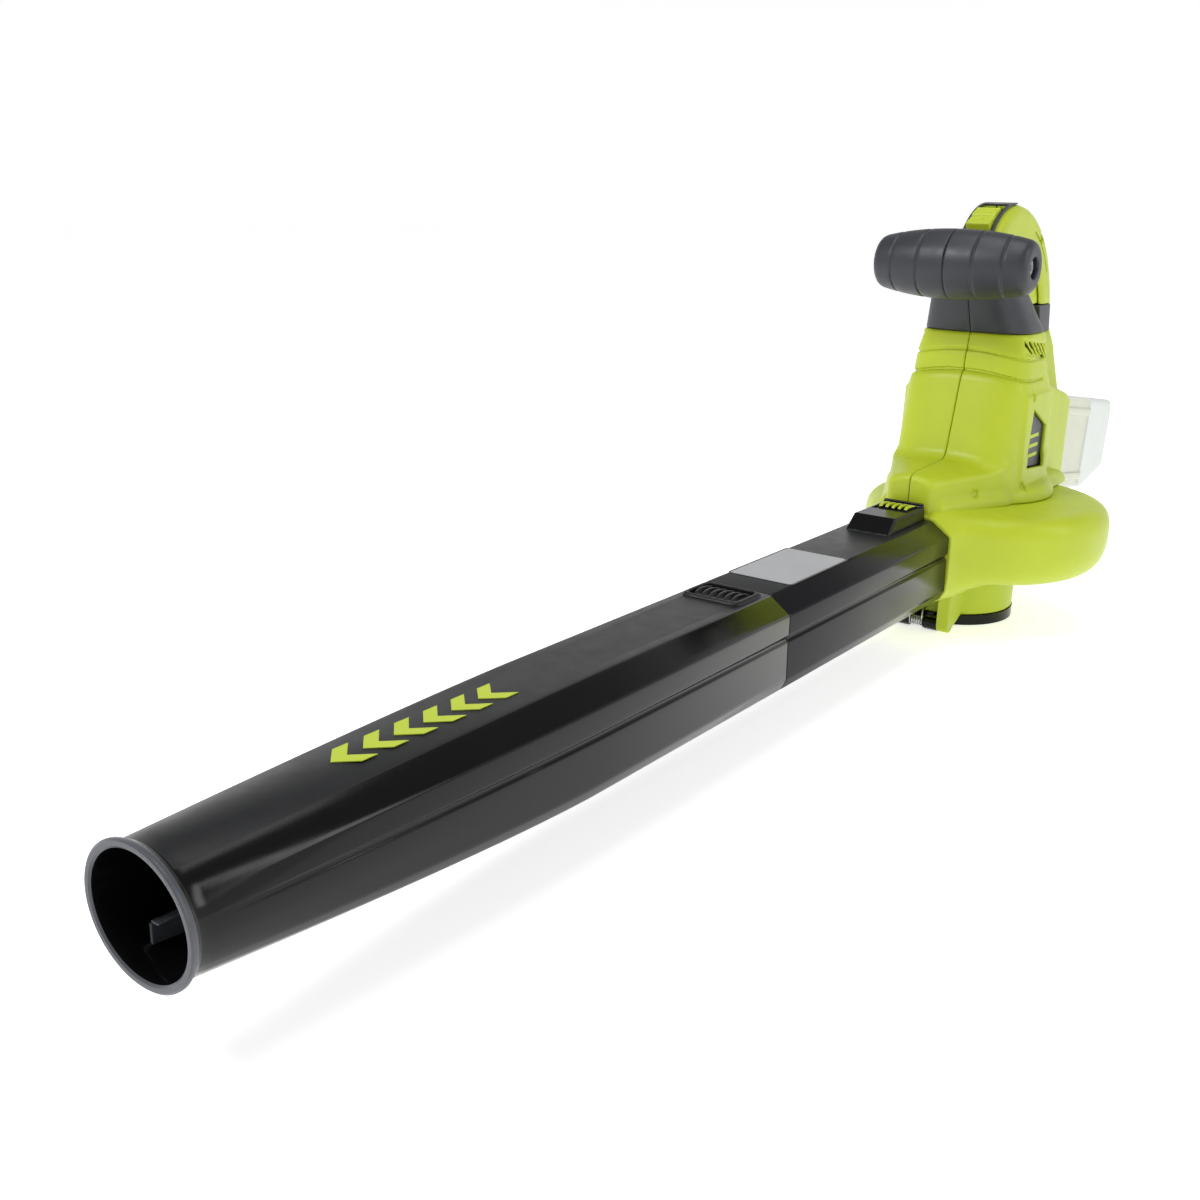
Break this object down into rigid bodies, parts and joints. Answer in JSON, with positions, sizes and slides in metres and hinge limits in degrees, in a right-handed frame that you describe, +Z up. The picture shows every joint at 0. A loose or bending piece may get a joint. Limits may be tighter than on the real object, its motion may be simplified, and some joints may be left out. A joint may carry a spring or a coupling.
{
  "type": "leaf blower",
  "caption": "Cordless leaf blower with a long two-piece nozzle tube, fan drum with hinged inlet cover, upright motor housing, T grip, arched rear handle and slide-on battery pack.",
  "frame": {"origin": "on the fan axis at the underside of the inlet cover", "axes": "+X across to the operator's left seen from behind the mouth, +Y back from the mouth to the battery, +Z up along the fan axis"},
  "size_m": [0.185, 1.0154, 0.3172],
  "materials": {
    "green_plastic": "satin moulded lime green",
    "dark_plastic": "soft satin dark grey",
    "black_plastic": "glossy black moulding",
    "label_foil": "blank silver-grey label",
    "green_print": "printed green",
    "steel": "plain steel",
    "copper": "lacquered copper",
    "magnet": "dull ferrite",
    "board": "solder-masked board",
    "red_wire": "red insulation",
    "black_wire": "black insulation",
    "pack_plastic": "frosted white moulding",
    "cell": "shrink-wrapped cells",
    "fan_plastic": "filled black plastic"
  },
  "bodies": {
    "housing": {"housing_left": "green_plastic", "housing_right": "green_plastic", "volute": "green_plastic", "drum_floor": "green_plastic", "motor_mount": "dark_plastic", "mount_screws": "steel", "housing_screws": "steel", "side_badge": "dark_plastic", "front_grip_left": "dark_plastic", "front_grip_right": "dark_plastic", "grip_bolt": "steel", "grip_nut": "steel", "rear_grip_pad": "dark_plastic", "trigger_pin": "steel", "trigger_spring": "steel", "power_switch": "black_plastic", "switch_bezel": "dark_plastic", "hinge_pin": "steel", "hinge_spring": "steel", "cover_latch_spring": "steel", "safety_switch": "black_plastic", "motor_can": "steel", "end_bell": "black_plastic", "magnets": "magnet", "brushes": "magnet", "bearings": "steel", "motor_screws": "steel", "control_board": "board", "wire_red": "red_wire", "wire_black": "black_wire", "battery_terminals": "black_plastic"},
    "rotor": {"impeller": "fan_plastic", "impeller_nut": "steel", "motor_shaft": "steel", "armature": "copper", "commutator": "copper"},
    "trigger": {"trigger": "green_plastic"},
    "speed_switch": {"speed_switch": "green_plastic"},
    "cover": {"inlet_cover": "black_plastic"},
    "cover_latch": {"cover_latch": "black_plastic"},
    "rear_tube": {"upper_tube": "black_plastic", "tube_label": "label_foil", "tube_latch_spring": "steel"},
    "tube_latch": {"tube_latch": "green_plastic"},
    "front_tube": {"lower_tube": "black_plastic", "tube_decal": "green_print"},
    "joint_latch": {"joint_latch": "black_plastic"},
    "battery": {"battery_case": "pack_plastic", "battery_cells": "cell", "battery_latch_spring": "steel"},
    "battery_latch": {"battery_latch": "pack_plastic"}
  },
  "joints": [
    {"name": "impeller_spin", "type": "hinge", "parent": "housing", "child": "rotor", "pos_m": [0, 0, 0.07], "axis": [0, 0, 1], "continuous": true},
    {"name": "trigger_pull", "type": "hinge", "parent": "housing", "child": "trigger", "pos_m": [0, 0.082, 0.2735], "axis": [1, 0, 0], "range_deg": [0, 8], "stiffness_Nm_per_rad": 0.8, "springref_deg": -8.59},
    {"name": "speed_slide", "type": "slide", "parent": "housing", "child": "speed_switch", "axis": [0, 0.9135, 0.4067], "range_m": [0, 0.008]},
    {"name": "inlet_cover_swing", "type": "hinge", "parent": "housing", "child": "cover", "pos_m": [0, -0.066, 0.0054], "axis": [-1, 0, 0], "range_deg": [0, 100], "stiffness_Nm_per_rad": 0.04, "springref_deg": -45.84},
    {"name": "cover_latch_pull", "type": "slide", "parent": "housing", "child": "cover_latch", "axis": [0, 1, 0], "range_m": [0, 0.004], "stiffness_N_per_m": 900, "springref_m": -0.002},
    {"name": "rear_tube_slide", "type": "slide", "parent": "housing", "child": "rear_tube", "axis": [0, -1, 0], "range_m": [0, 0.06]},
    {"name": "tube_latch_press", "type": "slide", "parent": "rear_tube", "child": "tube_latch", "axis": [0, 0, -1], "range_m": [0, 0.0024], "stiffness_N_per_m": 1500, "springref_m": -0.002, "deforming": ["tube_latch_spring"]},
    {"name": "front_tube_slide", "type": "slide", "parent": "rear_tube", "child": "front_tube", "axis": [0, -1, 0], "range_m": [0, 0.036]},
    {"name": "joint_latch_press", "type": "slide", "parent": "front_tube", "child": "joint_latch", "axis": [0, 0, -1], "range_m": [0, 0.002], "stiffness_N_per_m": 1500, "springref_m": -0.002},
    {"name": "battery_slide", "type": "slide", "parent": "housing", "child": "battery", "axis": [0, 0.9903, -0.1392], "range_m": [0, 0.06]},
    {"name": "battery_latch_press", "type": "slide", "parent": "battery", "child": "battery_latch", "axis": [0, -0.1392, -0.9903], "range_m": [0, 0.0012], "stiffness_N_per_m": 1500, "springref_m": -0.002, "deforming": ["battery_latch_spring"]}
  ]
}
